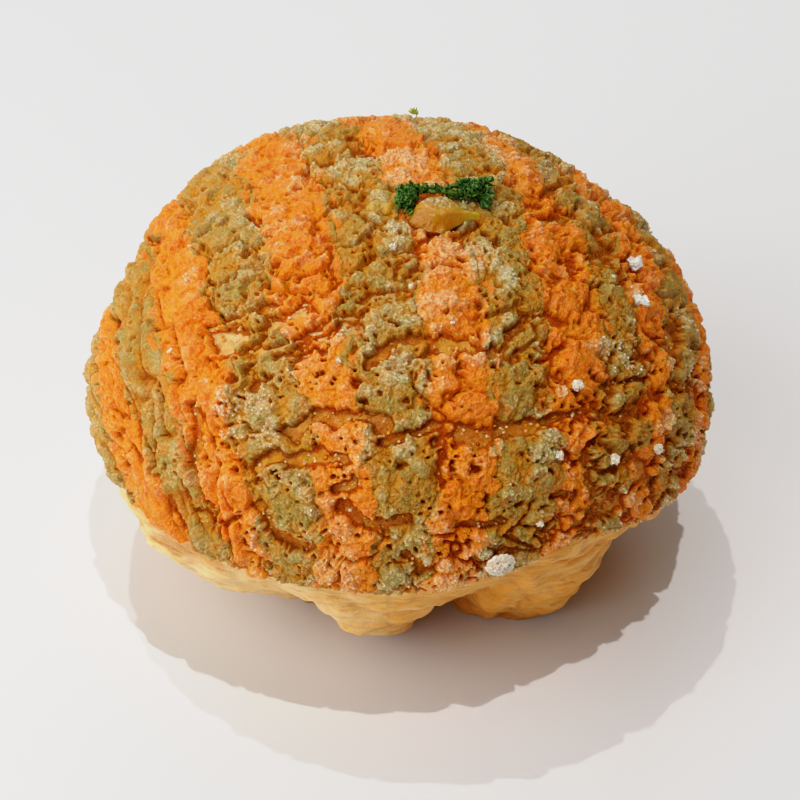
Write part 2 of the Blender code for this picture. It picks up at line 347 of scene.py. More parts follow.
class Finish:
    """A node material that is built up line by line: each method adds one node and returns its output."""

    def __init__(self, name):
        self.material = bpy.data.materials.new(name)
        self.material.use_nodes = True
        self.tree = self.material.node_tree
        self.shader = self.tree.nodes["Principled BSDF"]
        self.place = self.tree.nodes.new("ShaderNodeTexCoord").outputs["Object"]

    def node(self, kind, inputs, output=0, **settings):
        """A node with its settings, and its inputs linked or set by name or number."""
        made = self.tree.nodes.new(kind)
        for key, value in settings.items():
            setattr(made, key, value)
        for key, value in inputs.items():
            if isinstance(value, bpy.types.NodeSocket):
                self.tree.links.new(value, made.inputs[key])
            else:
                made.inputs[key].default_value = value
        return made.outputs[output]

    def value(self, name):
        """The number stored on each vertex under a name."""
        return self.node("ShaderNodeAttribute", {}, "Fac", attribute_name=name)

    def noise(self, size, detail=2.0, roughness=0.5, place=None):
        """Soft noise around 0.5 with humps of a size in millimetres."""
        inputs = {"Vector": place or self.place, "Scale": 1.0 / (size * MM), "Detail": detail,
                  "Roughness": roughness}
        return self.node("ShaderNodeTexNoise", inputs)

    def cells(self, size):
        """Distance from the nearest of many random spots that are a size in millimetres apart."""
        return self.node("ShaderNodeTexVoronoi", {"Vector": self.place, "Scale": 1.0 / (size * MM)})

    def stretch(self, value, low, high, bottom=0.0, top=1.0):
        """A value mapped from low..high to bottom..top, and held there."""
        inputs = {"Value": value, "From Min": low, "From Max": high, "To Min": bottom, "To Max": top}
        return self.node("ShaderNodeMapRange", inputs)

    def sum(self, kind, first, second):
        """Two values put together: ADD, MULTIPLY, MAXIMUM and so on."""
        return self.node("ShaderNodeMath", {0: first, 1: second}, operation=kind)

    def mix(self, share, under, over):
        """One colour turning into another as share goes from 0 to 1."""
        return self.node("ShaderNodeMix", {0: share, 6: under, 7: over}, 2, data_type="RGBA")

    def relief(self, height, depth, normal=None):
        """Fine relief of a depth in millimetres, from a height between 0 and 1."""
        inputs = {"Height": height, "Distance": depth * MM, "Strength": 1.0}
        if normal is not None:
            inputs["Normal"] = normal
        return self.node("ShaderNodeBump", inputs)

    def crown_dough(self):
        """The colour of the dough in the cracks: deep golden with lighter patches and pale spots."""
        colour = self.mix(self.stretch(self.noise(2.6, 3.0), 0.40, 0.66), CROWN_DOUGH, GOLDEN_DOUGH)
        colour = self.mix(self.value("golden"), colour, GOLDEN_DOUGH)
        colour = self.mix(self.stretch(self.noise(0.9, 2.0), 0.50, 0.72, 0.0, 0.30), colour, PALE_DOUGH)
        patchy = self.stretch(self.noise(1.3, 2.0), 0.35, 0.60, 0.5, 1.0)
        pale = self.sum("MULTIPLY", self.value("pale"), patchy)
        return self.mix(pale, colour, PALE_DOUGH)

    def set(self, **inputs):
        """Link or set the shader's sockets; an underscore in a name stands for a space."""
        for key, value in inputs.items():
            socket = self.shader.inputs[key.replace("_", " ")]
            if isinstance(value, bpy.types.NodeSocket):
                self.tree.links.new(value, socket)
            else:
                socket.default_value = value
        return self.material


def bread_finish():
    """Glossy deep golden dough in the crown's cracks, and a satin flank with pulled streaks.

    The streaks are cream on the left and amber on the right. The flank is darker towards the foot, and
    the arches and the creases of the folds carry painted shade.
    """
    finish = Finish("baked_bread")
    crown = finish.crown_dough()
    wrap = finish.node("ShaderNodeUVMap", {}, uv_map="wrap")
    fibres = finish.node("ShaderNodeMapping", {"Vector": wrap, "Scale": (0.16, 1.0, 1.0)})
    streak = finish.noise(1.5, 4.0, 0.6, fibres)
    fine_streak = finish.noise(0.5, 2.0, 0.5, fibres)
    flank = finish.mix(finish.value("amber"), FLANK_DOUGH, AMBER_DOUGH)
    cream = finish.sum("MULTIPLY", finish.stretch(streak, 0.46, 0.72, 0.0, 0.9),
                       finish.stretch(finish.value("amber"), 0.0, 1.0, 1.0, 0.45))
    flank = finish.mix(cream, flank, STREAK_DOUGH)
    flank = finish.mix(finish.stretch(fine_streak, 0.48, 0.28, 0.0, 0.6), flank, BROWN_DOUGH_AND_SHADE)
    # Painted shade along the creases of the folds, then darker towards the foot, with painted shade in the
    # arches.
    flank = finish.mix(finish.value("crease_shade"), flank, BROWN_DOUGH_AND_SHADE)
    flank = finish.mix(finish.value("foot_dark_and_arch_shade"), flank, BROWN_DOUGH_AND_SHADE)
    colour = finish.mix(finish.value("bare"), crown, flank)
    grain = finish.sum("ADD", finish.sum("MULTIPLY", fine_streak, 0.6), finish.noise(0.35))
    return finish.set(
        Base_Color=colour,
        Roughness=finish.stretch(finish.value("bare"), 0.0, 1.0, 0.26, 0.36),
        Specular_IOR_Level=finish.stretch(finish.value("bare"), 0.0, 1.0, 0.22, 0.45),
        Normal=finish.relief(grain, 0.16),
        Subsurface_Weight=0.30,
        Subsurface_Radius=(2.0, 0.8, 0.3),
        Subsurface_Scale=MM,
    )


columns = np.linspace(0.0, 360.0, BREAD_COLUMNS, endpoint=False)
rows = np.concatenate([
    np.linspace(0.0, 1.0, CROWN_ROWS, endpoint=False)[1:],
    np.linspace(1.0, 2.0, FLANK_ROWS, endpoint=False),
    np.linspace(2.0, 3.0, SOLE_ROWS, endpoint=False),
])
azimuth, down = np.meshgrid(columns[::-1], rows)
form = bread_points(azimuth, down)
normal = surface_normals(form)
flank = ease(0.92, 1.05, down) * (1.0 - ease(1.96, 2.0, down))
wrap_x = np.radians((azimuth + 92.0) % 360.0) * WAIST_RADIUS
length = np.cumsum(np.linalg.norm(np.diff(form, axis=0, prepend=form[:1]), axis=-1), axis=0)
fan = 0.45 * bump(azimuth, -42, 16)
slant = form[..., 2] - fan * np.radians((azimuth + 42.0 + 180.0) % 360.0 - 180.0) * 60.0
fibre_place = np.stack([form[..., 0] * 0.30, form[..., 1] * 0.30, slant * 1.6], axis=-1)
fibre_place = fibre_place + 0.9 * np.stack([ripple(form, 4.5, seed) for seed in (65, 66, 67)], axis=-1)
ridge = np.abs(ripple(fibre_place, 4.2, 11))
folds = (0.95 * (ease(0.0, 0.55, ridge) - 0.6) + 0.50 * ripple(fibre_place, 1.9, 12)
         + 0.22 * ripple(fibre_place, 0.9, 18))
swells = 0.60 * ripple(form, 8.0, 13) + 0.55 * ripple(form, 3.2, 14) + 0.20 * ripple(form, 1.3, 9)
form = form + normal * (flank * (folds + swells) + (1.0 - flank) * 0.30 * ripple(form, 4.0, 15))[..., None]
# Painted shade along the creases of the folds.
crease_shade = flank * 0.40 * ease(0.16, 0.0, ridge) * ease(-0.4, 0.4, ripple(form, 6.0, 19))
form[..., 2] = np.maximum(form[..., 2], 0.0)
top = outside(direction(np.array([0.0]), np.array([0.0])), DOUGH_DEPTH)
bottom = np.array([[*MIDDLE, SOLE_HOLLOW]])
points = np.concatenate([form.reshape(-1, 3), top, bottom])
quads = grid_quads(len(rows), BREAD_COLUMNS, wrap=True)[:, [0, 3, 2, 1]]
here, last = np.arange(BREAD_COLUMNS), (len(rows) - 1) * BREAD_COLUMNS
beside = (here + 1) % BREAD_COLUMNS
caps = [*np.stack([np.full_like(here, len(points) - 2), beside, here], axis=-1),
        *np.stack([np.full_like(here, len(points) - 1), last + here, last + beside], axis=-1)]
bread = put_mesh("bread_visual", points, quads, caps)
uv = np.concatenate([np.stack([wrap_x, length], axis=-1).reshape(-1, 2), [[0.0, 0.0], [0.0, 0.0]]]) * MM
loops = np.zeros(len(bread.data.loops), np.int32)
bread.data.loops.foreach_get("vertex_index", loops)
bread.data.uv_layers.new(name="wrap").data.foreach_set("uv", uv[loops].astype(np.float32).ravel())
bare = ease(0.90, 0.97, down)


def spots(ways, list_of_spots):
    """How near each direction is to one of the spots: 1 at a spot's middle, falling off as a bell."""
    found = np.zeros(ways.shape[:-1])
    for azimuth, angle, spread in list_of_spots:
        apart = np.degrees(np.arccos(np.clip(ways @ direction(azimuth, angle), -1.0, 1.0)))
        found = np.maximum(found, ease(1.5, 0.7, apart / spread))
    return found


crown_ways = direction(azimuth, np.minimum(down, 1.0) * (rim_angle(azimuth) + BREAD_ROLL))
pale, golden = spots(crown_ways, PALE_SPOTS), spots(crown_ways, GOLDEN_SPOTS)
amber = ease(-22.0, 12.0, form[..., 0] + 3.0 * ripple(form, 6.0, 16))
# Darker towards the foot, and painted shade in the arches between the lobes, under the bun.
foot_dark_and_arch_shade = flank * np.clip(0.85 * ease(1.72, 2.0, down + 0.1 * ripple(form, 5.0, 17)), 0.0, 1.0)
foot_dark_and_arch_shade = np.maximum(foot_dark_and_arch_shade, flank * 0.9 * ease(0.5, 0.15, lobe_shape(azimuth)[0]) * ease(1.35, 1.8, down))
for name, values in (("bare", bare), ("pale", pale), ("golden", golden), ("amber", amber),
                     ("foot_dark_and_arch_shade", foot_dark_and_arch_shade), ("crease_shade", crease_shade)):
    put_values(bread, name, np.concatenate([values.ravel(), values[0, :1], values[-1, :1]]))
bread.data.materials.append(bread_finish())
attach(bread, "root")
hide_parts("bread")

# ---------------------------------------------------------------------------------------------------
# The crust. Fifteen strips of sweet biscuit dough, green and orange in turn, laid side by side over
# the bun. They baked to a crisp, bubbly crumb, and tore into plates as the bread swelled under them.

# The sheet of strips draped over the bun. A place on it is two angles from the sheet's own middle:
# u across the strips and v along them.
SHEET_LEAN_X = 8.9
SHEET_LEAN_Y = -6.0
SHEET_TURN = 11.3
SHEET_STRETCH = 0.952
STRIP_EDGES = (-107.0, -88.4, -74.9, -61.4, -48.3, -35.2, -22.3, -9.9, 2.8, 15.3, 27.1, 38.0, 49.1,
               61.2, 73.3, 88.0)
EDGE_WANDER = 0.9
SPLAY_START = 55.0
SPLAY_LENGTH = 35.0
SPLAY = 0.20
PER_DEGREE = 0.96
STRIP_GAP = 0.02
STRIP_OVERHANG = 2.5

# The spacing of a strip's points, how deep its film dives in a tear, how far its underside reaches into
# the dough, and how thick a plate is on the crown and at the rim.
NET_STEP = 0.20
HIDDEN = 0.45
UNDERSIDE = 1.2
CROWN_PLATE = 2.05
RIM_PLATE = 1.75

# How far apart the cracks across the strips and the places for holes come, the share of those places
# that has a hole, and the room beside an outermost strip, where no seam runs.
CROSSING_STEP = 9.4
HOLE_STEP = 2.9
HOLE_SHARE = 0.24
OPEN_SIDE = 50.0

# How frosted a place has to be to carry sugar, and how much the floor of a tear to catch crumbs, each
# with the number to a strip.
SUGARED, STRIP_GRAINS = 0.50, 240
TORN, STRIP_CRUMBS = 0.6, 40

# Where the crust tore open: half width of the tear, and its course as (u, v) on the sheet.
TEARS = (
    (0.7, (-49, -12), (-42, -12.5), (-35, -13)),
    (2.2, (-47.5, -15.5), (-43, -17.5)),
    (0.9, (-41, -21.5), (-34, -22), (-27, -20.5), (-21, -20)),
    (1.5, (-31, -23.5), (-22, -22.5)),
    (1.0, (-37, -25), (-31, -25.5)),
    (0.8, (-19, -16.5), (-12, -16)),
    (0.6, (-9, -12), (0, -13)),
    (1.3, (-21, -30), (-15, -28.5), (-9, -28), (-1, -30.5), (4, -31.5)),
    (0.9, (4, -31.5), (8, -28), (13, -25), (18, -24)),
    (1.6, (-38, -41), (-30, -39.5), (-24, -41), (-18, -44)),
    (1.5, (-46.5, -46.5), (-41, -47), (-35, -48.5), (-29, -50)),
    (1.2, (-19, -48), (-14, -46), (-9, -46.5)),
    (1.5, (-9, -49.5), (-3, -49), (4, -49.5), (8, -48), (14, -46.5), (22, -43.5)),
    (1.7, (-29, -56), (-27, -56.5)),
    (1.1, (-8.5, -52), (-8, -60)),
    (1.3, (-29, -61), (-25, -65), (-21, -67.5), (-15, -66.5)),
    (1.5, (-2, -68.5), (5, -69.5)),
    (0.8, (-6, -72.5), (-2, -73)),
    (1.5, (-49.5, -56.5), (-46.5, -62), (-43, -67), (-38, -70)),
    (0.9, (-15, -74.5), (-12.5, -77), (-11, -81)),
    (1.0, (8, -71), (10, -74), (12.5, -76)),
    (1.0, (17.5, -63), (20.5, -63.5)),
    (0.6, (18, -54), (22, -56.5)),
    (1.4, (-57, -29), (-58, -35), (-61, -43)),
    (0.9, (-59, -59.5), (-54, -58)),
    (0.9, (-65, -53), (-61.5, -55)),
    (1.6, (20, 0.5), (24, 3), (28, 6)),
    (1.2, (25.5, -20), (29, -22.5)),
    (0.7, (31, -36.5), (40, -35.5)),
    (1.0, (24, -37), (26, -39)),
    (0.9, (31, -44.5), (34, -44)),
    (0.9, (29, -57.5), (33, -54.5), (38, -52)),
    (0.8, (47, -20.5), (53, -22.5)),
    (1.0, (44, -24.5), (48, -25)),
    (0.8, (31, -63), (32.5, -68)),
    (0.6, (36, -11.5), (37, -11.5)),
    (0.8, (12, -33.5), (17, -31)),
    (0.7, (-31, -9), (-24, -7.5)),
    (0.8, (-23.5, -1), (-23.5, -12)),
    (0.8, (-36, 13.5), (-34.5, 9)),
    (1.5, (-37, -16), (-30.5, -16)),
    # Beside the wedge, where its shadow falls: this tear's dark floor and walls add painted shade there.
    (0.9, (1.5, -5.5), (4.5, -3)),
)

# The crust's colours. The deep ones are a deeper tone of the crumb in patches, and painted shade in its
# hollows and pores; the frost ones are sugar frost, and painted glints.
ORANGE = (0.79, 0.205, 0.005, 1.0)
ORANGE_GOLDEN = (0.84, 0.285, 0.010, 1.0)
ORANGE_FROST = (0.93, 0.67, 0.38, 1.0)
ORANGE_DEEP_AND_SHADE = (0.50, 0.095, 0.002, 1.0)
GREEN = (0.355, 0.248, 0.050, 1.0)
GREEN_GOLDEN = (0.56, 0.235, 0.012, 1.0)
GREEN_FROST = (0.75, 0.68, 0.42, 1.0)
GREEN_DEEP_AND_SHADE = (0.40, 0.105, 0.003, 1.0)


def sheet_axes():
    """The sheet's own three axes: across the strips, along them, and up through its middle."""
    lean_x, lean_y, turn = np.radians([SHEET_LEAN_X, SHEET_LEAN_Y, SHEET_TURN])
    up = np.array([np.sin(lean_x), np.sin(lean_y), 0.0])
    up[2] = np.sqrt(1.0 - up @ up)
    across = np.array([np.cos(turn), np.sin(turn), 0.0])
    across = across - up * (across @ up)
    across = across / np.linalg.norm(across)
    return across, np.cross(up, across), up


def sheet_way(strip_u, v):
    """Directions of places on the sheet: splayed near the rim, stretched, then draped."""
    across, along, up = sheet_axes()
    u = strip_u / (1.0 - SPLAY * np.clip((np.abs(v) - SPLAY_START) / SPLAY_LENGTH, 0.0, 1.5) ** 2)
    far = np.hypot(u, v)
    tau = np.radians(90.0 * (far / 90.0) ** (1.0 / SHEET_STRETCH))
    turn = np.arctan2(v, u)
    flat = across * np.cos(turn)[..., None] + along * np.sin(turn)[..., None]
    return up * np.cos(tau)[..., None] + flat * np.sin(tau)[..., None]


def strip_end(u, side):
    """How far along the sheet a strip runs before the rim, found by halving the interval."""
    near, far = np.zeros_like(u), np.full_like(u, 125.0)
    for _ in range(24):
        middle = 0.5 * (near + far)
        azimuth, angle = angles(sheet_way(u, side * middle))
        inside = angle < rim_angle(azimuth) + STRIP_OVERHANG
        near, far = np.where(inside, middle, near), np.where(inside, far, middle)
    return side * near


def edge_line(index, v):
    """The line between two strips: a straight cut that wanders a little as it was laid."""
    slow = np.sin(v / 15.0 + 2.1 * index)
    quick = 0.4 * np.sin(v / 6.0 + 1.3 * index)
    place = np.stack([v, 0.0 * v + 31.0 * index, 0.0 * v], axis=-1)
    torn = 1.6 * ripple(place, 5.0, 20) + 1.1 * ripple(place, 2.4, 21) + 0.5 * ripple(place, 1.1, 22)
    return STRIP_EDGES[index] + EDGE_WANDER * (slow + quick) + torn


def tear_room(u, v, places):
    """How far each place is from the nearest tear's side: negative inside a tear.

    The distance to each straight piece of a tear's course, less the tear's half width, which swells
    and shrinks along the way. The places are shifted by noise first, so that the sides run ragged.
    """
    shift = [1.3 * ripple(places, 3.4, seed) + 0.6 * ripple(places, 1.4, seed + 1) for seed in (51, 53)]
    here = np.stack([u, v], axis=-1) * PER_DEGREE + np.stack(shift, axis=-1)
    uneven = 1.0 + 0.75 * ripple(places, 2.7, 23)
    room = np.full(u.shape, 50.0)
    for half_width, *course in TEARS:
        stops = np.array(course, float) * PER_DEGREE
        for start, stop in zip(stops[:-1], stops[1:]):
            run = stop - start
            share = np.clip((here - start) @ run / (run @ run), 0.0, 1.0)
            apart = np.linalg.norm(here - start - share[..., None] * run, axis=-1)
            room = np.minimum(room, apart - (half_width - 0.15) * uneven)
    return room


def crust_relief(u, v, side, places, angle, past_rim):
    """Height of the crust above the dough, how frosted and how hollow it is, and how much of it is the
    floor of a tear, at each place.

    room is how far a place lies inside its plate: the least of its distances from the tears, the
    seams between strips, the rim and the holes, made uneven by noise and by the nodules, so that edges
    come out knobbly. A plate rises steeply at its edge and carries lumps, nodules, beads and pinholes,
    and valleys that part it into islands, deepest at the right. At the left it is drawn out into ropes
    along the strips. In a tear a thin film of crust runs out over the dough and dives under it, with a few
    crumbs left standing. Frost lies on the crests, and thins out towards the glazed left; it is stronger on
    the bead tips, which is painted highlight. hollow grows in the low parts, pits, valleys, creases and
    grooves, most at the right, and carries painted shade there.
    """
    left = ease(-49.0, -58.0, u)
    right = ease(8.0, 30.0, u)
    glazed = ease(0.0, -35.0, u)
    mapped = ease(6.0, -6.0, v) * ease(60.0, 48.0, np.abs(u))
    rough = 0.45 * ripple(places, 1.6, 31) + 0.35 * ripple(places, 0.75, 32)
    bent = places + 0.5 * np.stack([ripple(places, 1.5, seed) for seed in (61, 62, 63)], axis=-1)
    bead_far, _, bead_mark = grains(places, 0.55, 42)

    crossing = v * PER_DEGREE + 2.6 * ripple(places, 13.0, 33) + 1.6 * ripple(places, 4.0, 34)
    line = np.abs((crossing / CROSSING_STEP) % 1.0 - 0.5) * CROSSING_STEP
    crossing_room = line - (1.2 * ripple(places, 7.0, 35) - 0.3 - 1.0 * mapped - 1.6 * left)

    seam_room = side + 1.6 - 1.9 * ease(0.30, 0.85, ripple(places, 4.5, 36) + 0.25 * left)

    first, _, mark = grains(bent, HOLE_STEP, 38)
    hole_room = first * HOLE_STEP - (0.15 + 0.75 * mark / HOLE_SHARE) + 9.0 * (mark > HOLE_SHARE) + 1.2 * left

    knob_far, _, knob_mark = grains(bent, 1.3, 41)
    room = np.minimum.reduce([tear_room(u, v, places), crossing_room, seam_room, hole_room])
    room = np.minimum(room, 6.0) + 0.8 * rough + 0.8 * (0.55 - knob_far) + 0.30 * (0.5 - bead_far)
    room = np.minimum(room, past_rim + 0.8 * rough)

    soft = 0.30 + 0.4 * ease(0.1, 0.8, ripple(places, 6.0, 39)) + 0.5 * left
    rise = ease(0.0, 1.0, room / soft)
    dome = 1.0 - 0.35 * np.exp(-np.maximum(room, 0.0) / 1.1)

    isle_far, isle_next, _ = grains(places + 3.0 * (bent - places), 8.0, 48)
    valley = (1.0 - ease(0.0, 0.20 + 0.10 * right, isle_next - isle_far)) * (1.0 - 0.7 * left)
    valley = valley * ease(-0.5, 0.1, ripple(places, 9.0, 60) + 0.35 * right)
    seam = np.exp(-np.maximum(side, 0.0) / 0.7) * ease(-0.1, 0.5, ripple(places, 6.0, 49))
    seam = seam * (1.0 - 0.6 * left)
    lump_far, lump_next, lump_mark = grains(bent, 2.8, 47)
    crease = ease(0.16, 0.0, lump_next - lump_far)
    lumps = np.sqrt(np.maximum(1.0 - lump_far ** 2, 0.0)) * (0.45 + 0.55 * lump_mark)
    knobs = np.sqrt(np.maximum(1.0 - (knob_far / 0.9) ** 2, 0.0)) * (0.25 + 0.75 * knob_mark)
    beads = np.maximum(1.0 - (bead_far / 0.8) ** 2, 0.0) * (0.2 + 0.8 * bead_mark)
    pit_far, _, pit_mark = grains(bent, 1.15, 43)
    pinhole = 0.14 + 0.9 * pit_mark
    pits = ease(pinhole + 0.10, pinhole - 0.06, pit_far) * (pit_mark < 0.34)
    pits = pits * ease(-0.5, 0.1, ripple(places, 5.5, 50))

    bowed = u * PER_DEGREE + 2.2 * ripple(places, 7.0, 44)
    ropes = np.stack([bowed, v * PER_DEGREE * 0.27, 0.0 * u], axis=-1)
    strand = np.abs(ripple(ropes, 3.4, 37) + 0.25 * ripple(ropes, 1.5, 46))
    groove = left * (1.0 - ease(0.0, 0.30, strand))

    plate = RIM_PLATE + (CROWN_PLATE - RIM_PLATE) * ease(98.0, 60.0, angle)
    plate = plate + 0.40 * ripple(places, 6.0, 40)
    rounded = left * 0.9 * (ease(0.0, 0.8, strand) - 0.5)
    calm = 1.0 - 0.3 * left
    bulge = 1.10 * lumps + 0.34 * knobs + 0.28 * beads - 0.90
    top = plate * dome + rounded + calm * bulge
    top = (top + 0.25 - 1.1 * pits - (1.35 + 0.35 * right) * valley - 0.35 * seam - 0.15 * crease
           - 0.7 * groove)

    crumb_far, _, crumb_mark = grains(places, 1.35, 64)
    crumbs = np.sqrt(np.maximum(1.0 - (crumb_far / 0.36) ** 2, 0.0)) * (crumb_mark < 0.22)
    wrinkle = np.abs(ripple(places + 2.0 * (bent - places), 2.6, 68))
    film = 0.22 - 0.30 * ease(0.25, 0.0, wrinkle) + 0.10 * ripple(places, 1.1, 69)
    film = film - (0.15 + HIDDEN) * ease(-0.4, -1.6, room)
    film = np.maximum(film, (0.75 * crumbs - 0.25) * (crumbs > 0))
    height = rise * top + (1.0 - rise) * film

    floor = ease(-0.10, -0.95, room) * ease(0.35, 0.0, crumbs)
    # hollow: how low a place lies, with pits, valleys (more at the right), creases, rope grooves and low
    # ground added; the finish paints shade by it.
    hollow = 1.0 - ease(0.05, 1.05, height)
    hollow = (hollow + 0.8 * pits + (0.30 + 0.30 * right) * valley ** 2 + 0.25 * crease * calm
              + 0.6 * groove - 0.5 * crumbs * (1.0 - rise))
    low = ease(0.15, -0.45, bulge + 0.35 * ripple(places, 5.0, 71))
    hollow = hollow + 0.30 * low * calm
    # Frost: sugar on the crests, stronger on the bead tips as painted highlight.
    tips = np.maximum(1.0 - (bead_far / 0.7) ** 2, 0.0)
    crest = ease(-0.20, 0.50, bulge - 0.10 + 0.40 * ripple(places, 4.5, 45) + 0.35 * ripple(places, 13.0, 70))
    frost_and_glint = crest * (0.45 + 0.75 * tips) * ease(0.6, 1.3, height) * (1.0 - 0.4 * glazed - 0.2 * left)
    return height, np.clip(frost_and_glint, 0.0, 1.0), np.clip(hollow, 0.0, 1.0), floor


def crust_finish(name, body, golden, frosted, deep, neighbour):
    """A crisp sugary crumb: pale specks on top, which are painted glints, and dark specks of painted shade
    in its pores; sugar frost with painted glints in its crystal cells; golden where it thins; saturated in
    the hollows, where the deep colour is painted shade; and running into its neighbour's colour at the seams."""
    finish = Finish(name)
    glint_and_pore_speck = finish.noise(0.45, 1.0, 0.5)
    crystal = finish.cells(0.42)
    hollow = finish.value("hollow")
    glaze = finish.stretch(finish.value("glazed"), 0.0, 1.0, 0.0, 0.05)
    glaze = finish.sum("ADD", finish.noise(3.2, 3.0, 0.6), glaze)
    colour = finish.mix(finish.stretch(glaze, 0.45, 0.72, 0.0, 0.9), body, golden)
    colour = finish.mix(finish.stretch(finish.noise(1.8, 2.0, 0.6), 0.46, 0.32, 0.0, 0.6), colour, deep)
    # Pale specks are painted glints; dark specks are painted shade in the pores.
    colour = finish.mix(finish.stretch(glint_and_pore_speck, 0.52, 0.68, 0.0, 0.20), colour, frosted)
    colour = finish.mix(finish.stretch(glint_and_pore_speck, 0.47, 0.32, 0.0, 0.22), colour, deep)
    colour = finish.mix(finish.stretch(hollow, 0.12, 0.45), colour, golden)
    colour = finish.mix(finish.value("stray"), colour, neighbour)
    # Frost, brighter in the crystal cells as painted glints.
    frost_and_glint = finish.sum("MULTIPLY", finish.value("frost_and_glint"), finish.stretch(crystal, 0.25, 0.70, 1.0, 0.30))
    colour = finish.mix(frost_and_glint, colour, frosted)
    # The deep colour in the hollows is painted shade.
    colour = finish.mix(finish.stretch(hollow, 0.35, 0.92), colour, deep)
    colour = finish.mix(finish.stretch(finish.value("floor"), 0.35, 0.9), colour, finish.crown_dough())
    grain = finish.sum("SUBTRACT", finish.noise(0.30, 2.0, 0.6), crystal)
    shine = finish.sum("MAXIMUM", finish.stretch(hollow, 0.2, 0.8), finish.value("floor"))
    return finish.set(
        Base_Color=colour,
        Roughness=finish.stretch(glint_and_pore_speck, 0.35, 0.65, 0.42, 0.20),
        Specular_IOR_Level=finish.stretch(shine, 0.0, 1.0, 0.32, 0.18),
        Normal=finish.relief(grain, 0.19),
        Subsurface_Weight=0.75,
        Subsurface_Radius=(2.0, 0.8, 0.22),
        Subsurface_Scale=MM,
    )


crust_finishes = {
    "green": crust_finish("green_biscuit", GREEN, GREEN_GOLDEN, GREEN_FROST, GREEN_DEEP_AND_SHADE, ORANGE),
    "orange": crust_finish("orange_biscuit", ORANGE, ORANGE_GOLDEN, ORANGE_FROST, ORANGE_DEEP_AND_SHADE, GREEN),
}
chance = np.random.default_rng(7)
sugar_spots, crumb_spots = [], []
for index in range(len(STRIP_EDGES) - 1):
    colour = ("green", "orange")[index % 2]
    width = STRIP_EDGES[index + 1] - STRIP_EDGES[index]
    across = np.linspace(0.0, 1.0, int(width * PER_DEGREE / NET_STEP) + 1)
    flat_u = STRIP_EDGES[index] + width * across
    front, back = strip_end(flat_u, -1.0), strip_end(flat_u, 1.0)
    steps = int((back.max() - front.min()) * PER_DEGREE / NET_STEP)
    along = np.linspace(0.0, 1.0, steps + 1)[:, None]
    v = front + (back - front) * along
    half_gap = 0.5 * STRIP_GAP / PER_DEGREE
    low, high = edge_line(index, v) + half_gap, edge_line(index + 1, v) - half_gap
    u = low * (1.0 - across) + high * across
    ways = sheet_way(u, v)
    azimuth, angle = angles(ways)
    places = outside(ways)
    outermost = index in (0, len(STRIP_EDGES) - 2)
    side = np.minimum(u - low, high - u) * PER_DEGREE + (OPEN_SIDE if outermost else 0.0)
    past_rim = (rim_angle(azimuth) - angle) * PER_DEGREE + 0.7 * ripple(places, 3.0, 24)
    height, frost_and_glint, hollow, floor = crust_relief(u, v, side, places, angle, past_rim)
    stray = 0.8 * ease(1.3, 0.2, side + 1.5 * ripple(places, 2.2, 25))
    stray = stray * ease(-0.5, 0.3, ripple(places, 4.0, 26))
    tops = outside(ways, DOUGH_DEPTH - height)
    under = outside(ways[:, [0, -1]], DOUGH_DEPTH + UNDERSIDE)
    count, wide = v.shape
    first_under = count * wide
    row = np.arange(count - 1)
    left_top, right_top = row * wide, row * wide + wide - 1
    left_low, right_low = first_under + 2 * row, first_under + 2 * row + 1
    quads = np.concatenate([
        grid_quads(count, wide)[:, ::-1],
        np.stack([left_top, left_top + wide, left_low + 2, left_low], axis=-1),
        np.stack([right_top + wide, right_top, right_low, right_low + 2], axis=-1),
        np.stack([left_low, left_low + 2, right_low + 2, right_low], axis=-1),
    ])
    near_cap = np.concatenate([np.arange(wide), [first_under + 1, first_under]])
    far_cap = np.concatenate([np.arange(wide)[::-1] + (count - 1) * wide,
                              [first_under + 2 * count - 2, first_under + 2 * count - 1]])
    points = np.concatenate([tops.reshape(-1, 3), under.reshape(-1, 3)])
    smooth = np.arange(len(quads) + 2) < (count - 1) * (wide - 1)
    caps = [near_cap, far_cap]
    strip = put_mesh(f"crust_{index + 1:02d}_{colour}_visual", points, quads, caps, smooth=smooth)
    for name, values in (("frost_and_glint", frost_and_glint), ("hollow", hollow), ("stray", stray), ("floor", floor),
                         ("glazed", ease(12.0, -38.0, places[..., 0])),
                         ("golden", spots(ways, GOLDEN_SPOTS)), ("pale", spots(ways, PALE_SPOTS))):
        put_values(strip, name, np.concatenate([values.ravel(), np.ones(2 * count)]))
    strip.data.materials.append(crust_finishes[colour])
    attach(strip, "root")
    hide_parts(f"crust_{index + 1:02d}_{colour}")
    for found, wanted, number in ((sugar_spots, frost_and_glint > SUGARED, STRIP_GRAINS),
                                  (crumb_spots, floor > TORN, STRIP_CRUMBS)):
        choice = tops[wanted]
        found.append(choice[chance.integers(0, max(len(choice), 1), min(number, len(choice)))])

# ---------------------------------------------------------------------------------------------------
# The candied peel. Two bits of orange peel, boiled in syrup and cut: a wedge with a smooth glassy cut
# at the front and a sugared top, and behind it a thin chip pressed flat into the crust.

PEEL = (0.50, 0.175, 0.002, 1.0)
PEEL_GOLD = (0.58, 0.26, 0.010, 1.0)
PEEL_PALE = (0.55, 0.32, 0.030, 1.0)
PEEL_PITH = (0.42, 0.25, 0.055, 1.0)
PEEL_SUGAR = (0.60, 0.47, 0.24, 1.0)


def on_crown(x, y, height):
    """Points a height above the crown at a place seen from above, found by correcting a direction."""
    ways = np.stack([x, y, np.full_like(x, CROWN_RISE)], axis=-1)
    for _ in range(12):
        ways = ways / np.linalg.norm(ways, axis=-1, keepdims=True)
        here = outside(ways)
        ways[..., 0] += (x - here[..., 0]) / WAIST_RADIUS
        ways[..., 1] += (y - here[..., 1]) / WAIST_RADIUS
    points = outside(ways / np.linalg.norm(ways, axis=-1, keepdims=True))
    points[..., 2] += height
    return points


